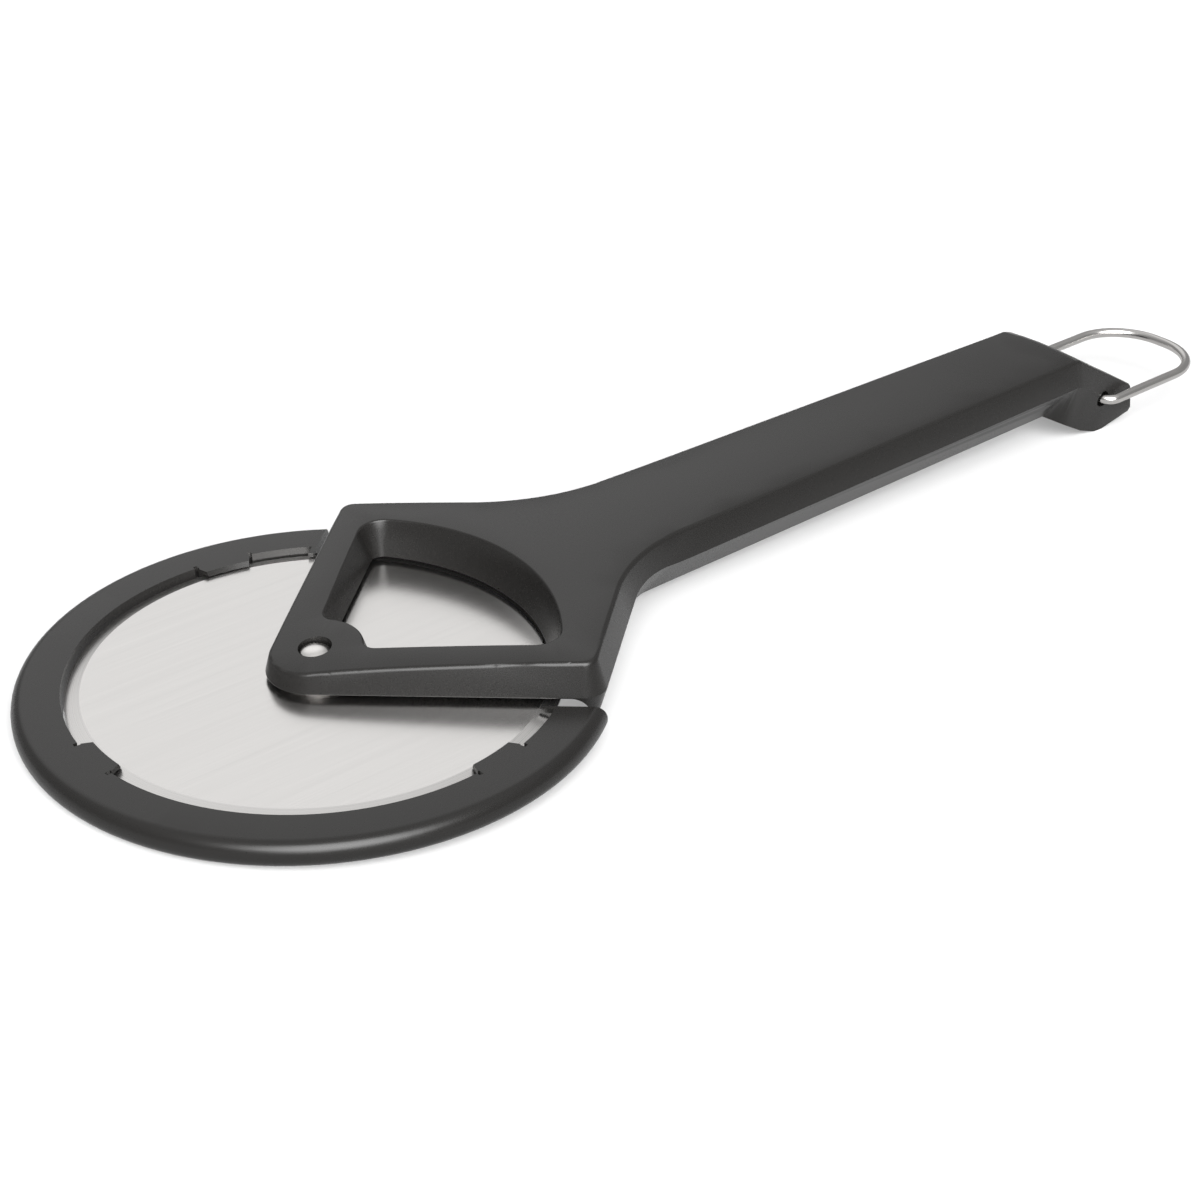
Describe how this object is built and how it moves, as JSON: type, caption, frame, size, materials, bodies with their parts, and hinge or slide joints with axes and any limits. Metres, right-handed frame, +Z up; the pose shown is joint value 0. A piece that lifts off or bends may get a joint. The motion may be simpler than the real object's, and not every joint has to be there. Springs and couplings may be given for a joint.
{
  "type": "pizza cutter",
  "caption": "Wheel pizza cutter: moulded handle with a one-sided windowed fork, round steel blade on a rivet, clip-on edge guard and wire hanging loop.",
  "frame": {"origin": "middle of the overall footprint, at the height of the foot under the handle's rear end", "axes": "+X from the blade towards the hanging loop, +Z up along the blade's axle, +Y to complete a right-handed frame"},
  "size_m": [0.2973, 0.1086, 0.0211],
  "materials": {
    "handle_plastic": "satin moulded",
    "guard_plastic": "satin moulded",
    "blade_steel": "fine brushed, ground edge",
    "pivot_steel": "polished",
    "wire_steel": "bright drawn wire"
  },
  "bodies": {
    "frame": {"handle": "handle_plastic", "axle_rivet": "pivot_steel", "pivot_sleeve": "pivot_steel", "upper_washer": "pivot_steel", "lower_washer": "pivot_steel"},
    "blade": {"blade": "blade_steel"},
    "guard": {"blade_guard": "guard_plastic"},
    "loop": {"hanging_loop": "wire_steel"}
  },
  "joints": [
    {"name": "blade_spin", "type": "hinge", "parent": "frame", "child": "blade", "pos_m": [-0.09435, 0, 0.0123], "axis": [0, 0, 1], "continuous": true},
    {"name": "guard_lift", "type": "slide", "parent": "frame", "child": "guard", "axis": [0, 0, 1], "range_m": [0, 0.03]},
    {"name": "loop_swing", "type": "hinge", "parent": "frame", "child": "loop", "pos_m": [0.11165, 0, 0.0086], "axis": [0, -1, 0], "range_deg": [-170, 155]}
  ]
}
